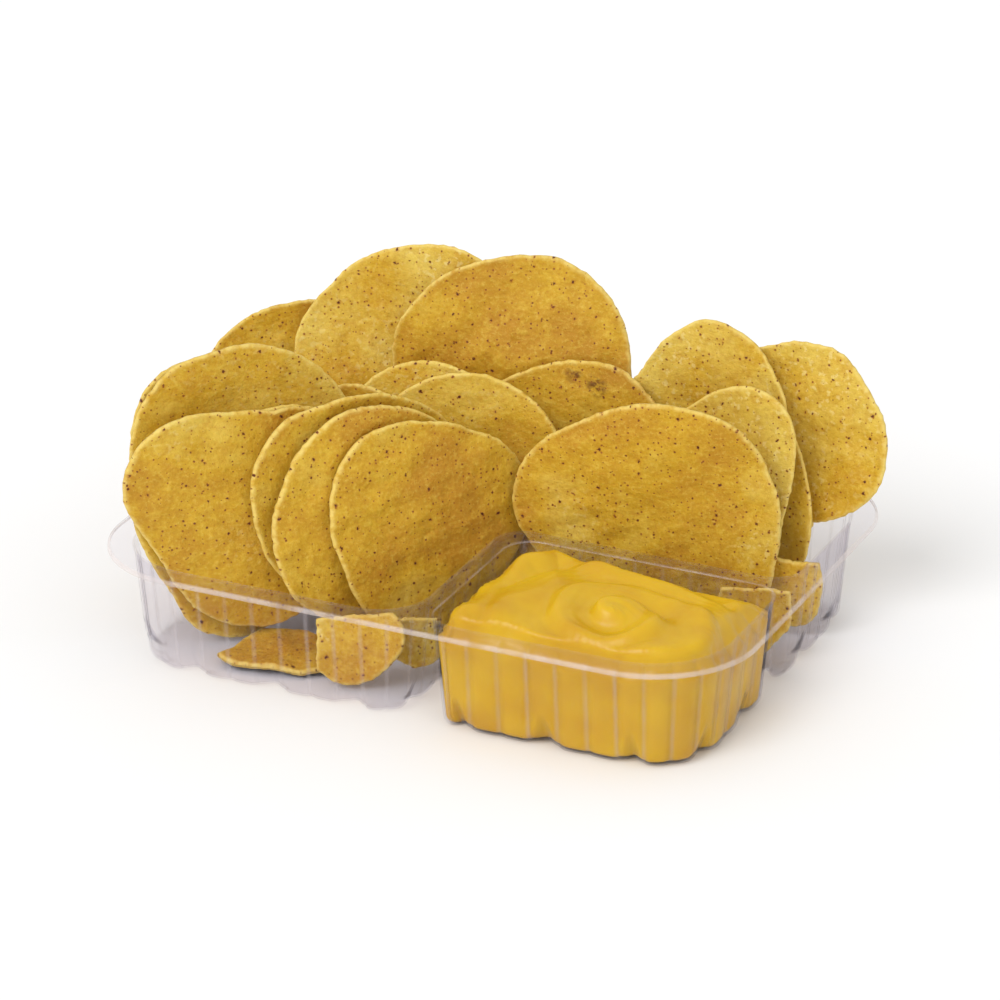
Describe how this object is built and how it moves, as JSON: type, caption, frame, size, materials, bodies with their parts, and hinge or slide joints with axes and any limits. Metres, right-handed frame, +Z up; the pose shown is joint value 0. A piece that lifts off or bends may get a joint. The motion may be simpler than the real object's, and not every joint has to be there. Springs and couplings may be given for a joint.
{
  "type": "nacho tray with chips and cheese sauce",
  "caption": "Clear plastic two-compartment nacho tray heaped with round yellow corn tortilla chips, its corner cup filled with swirled cheese sauce.",
  "frame": {"origin": "centre of the tray's underside, on the table", "axes": "+Z up, +X along the long side towards the sauce cup, +Y towards the back long side"},
  "size_m": [0.2078, 0.1524, 0.1036],
  "materials": {
    "clear_plastic": "gloss",
    "corn_chip": "matt",
    "cheese": "satin"
  },
  "bodies": {
    "root": {"tray": "clear_plastic", "cheese_sauce": "cheese", "chip_fan_middle": "corn_chip", "chip_fan_back": "corn_chip", "chip_top_left": "corn_chip", "chip_top_back": "corn_chip", "chip_middle_left": "corn_chip", "chip_middle": "corn_chip", "chip_middle_right": "corn_chip", "chip_left_gap": "corn_chip", "chip_right_high": "corn_chip", "chip_back_left": "corn_chip", "chip_back_middle": "corn_chip", "chip_back_right": "corn_chip", "broken_chip_floor": "corn_chip", "broken_chip_front": "corn_chip", "broken_chip_corner": "corn_chip", "broken_chip_right": "corn_chip", "broken_chip_deep": "corn_chip"},
    "top_middle_chip": {"chip_top_middle": "corn_chip"},
    "front_left_chip": {"chip_front_left": "corn_chip"},
    "front_middle_chip": {"chip_front_middle": "corn_chip"},
    "front_right_chip": {"chip_front_right": "corn_chip"},
    "left_low_chip": {"chip_left_low": "corn_chip"},
    "left_high_chip": {"chip_left_high": "corn_chip"},
    "left_edge_chip": {"chip_left_edge": "corn_chip"},
    "right_edge_chip": {"chip_right_edge": "corn_chip"},
    "right_curled_chip": {"chip_right_curled": "corn_chip"}
  },
  "joints": [
    {"name": "lift_chip_top_middle", "type": "slide", "parent": "root", "child": "top_middle_chip", "axis": [-0.0271, 0.101, 0.9945], "range_m": [0, 0.1]},
    {"name": "lift_chip_front_left", "type": "slide", "parent": "root", "child": "front_left_chip", "axis": [-0.0616, 0.0616, 0.9962], "range_m": [0, 0.1]},
    {"name": "lift_chip_front_middle", "type": "slide", "parent": "root", "child": "front_middle_chip", "axis": [-0.1167, 0.0758, 0.9903], "range_m": [0, 0.1]},
    {"name": "lift_chip_front_right", "type": "slide", "parent": "root", "child": "front_right_chip", "axis": [0, 0, 1], "range_m": [0, 0.1]},
    {"name": "lift_chip_left_low", "type": "slide", "parent": "root", "child": "left_low_chip", "axis": [-0.0616, 0.0616, 0.9962], "range_m": [0, 0.1]},
    {"name": "lift_chip_left_high", "type": "slide", "parent": "root", "child": "left_high_chip", "axis": [-0.0583, 0.0648, 0.9962], "range_m": [0, 0.1]},
    {"name": "lift_chip_left_edge", "type": "slide", "parent": "root", "child": "left_edge_chip", "axis": [-0.0895, 0.1066, 0.9903], "range_m": [0, 0.1]},
    {"name": "lift_chip_right_edge", "type": "slide", "parent": "root", "child": "right_edge_chip", "axis": [-0.0049, 0.1391, 0.9903], "range_m": [0, 0.1]},
    {"name": "lift_chip_right_curled", "type": "slide", "parent": "root", "child": "right_curled_chip", "axis": [-0.0121, 0.0863, 0.9962], "range_m": [0, 0.1]}
  ]
}
